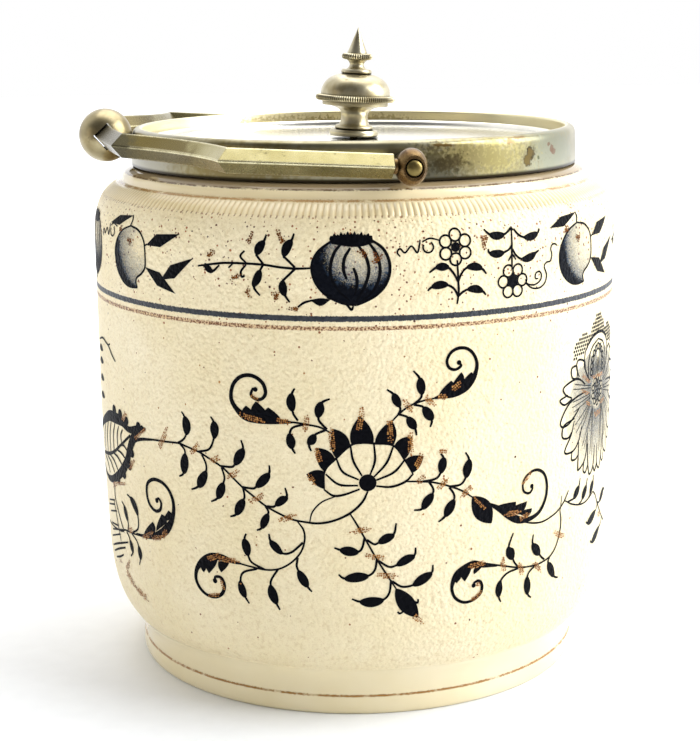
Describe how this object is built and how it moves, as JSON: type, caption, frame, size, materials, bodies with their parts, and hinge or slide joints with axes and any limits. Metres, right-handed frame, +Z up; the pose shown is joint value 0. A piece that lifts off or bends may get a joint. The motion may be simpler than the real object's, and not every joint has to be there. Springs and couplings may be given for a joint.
{
  "type": "biscuit barrel",
  "caption": "Cream glazed stoneware jar with a plated collar, lift-off plated lid with turned finial, and a swinging bail handle with a ball grip.",
  "frame": {"origin": "centre of the circle that the jar's foot ring stands on", "axes": "+Z up along the jar's axis; the bail's pivot axis lies along Y; at rest the lowered bail lies on the -X side"},
  "size_m": [0.1474, 0.1466, 0.1746],
  "materials": {
    "glazed_stoneware": "cream glaze, orange-peel surface with brown specks, glossier at the neck and foot",
    "plaster": "matt plaster bedding",
    "worn_plate": "worn plating with tarnish, satin to polished",
    "bright_plate": "polished plating with fine scratches",
    "bare_bronze": "plating worn through to brown base metal",
    "turned_brass": "turned, slightly dull"
  },
  "bodies": {
    "barrel": {"barrel_body": "glazed_stoneware", "cement_ring": "plaster", "collar_band": "worn_plate", "pivot_boss_front": "worn_plate", "pivot_washer_front": "turned_brass", "pivot_screw_front": "turned_brass", "pivot_boss_rear": "worn_plate", "pivot_washer_rear": "turned_brass", "pivot_screw_rear": "turned_brass"},
    "bail": {"knuckle_front": "bare_bronze", "bail_arm_front": "worn_plate", "bail_shoulder_front": "worn_plate", "knuckle_rear": "bare_bronze", "bail_arm_rear": "worn_plate", "bail_shoulder_rear": "worn_plate", "bail_crossbar": "worn_plate", "grip_ball": "worn_plate"},
    "lid": {"lid_plate": "bright_plate", "lid_flange": "worn_plate", "finial_foot": "worn_plate", "finial_bead_ring": "worn_plate", "finial_dome": "worn_plate", "finial_small_ring": "worn_plate", "finial_spike": "worn_plate", "finial_nut": "turned_brass", "finial_stud": "turned_brass", "finial_washer": "turned_brass"}
  },
  "joints": [
    {"name": "bail_swing", "type": "hinge", "parent": "barrel", "child": "bail", "pos_m": [0, 0, 0.1426], "axis": [0, 1, 0], "range_deg": [0, 173]},
    {"name": "lid_lift", "type": "slide", "parent": "barrel", "child": "lid", "axis": [0, 0, 1], "range_m": [0, 0.12]}
  ]
}
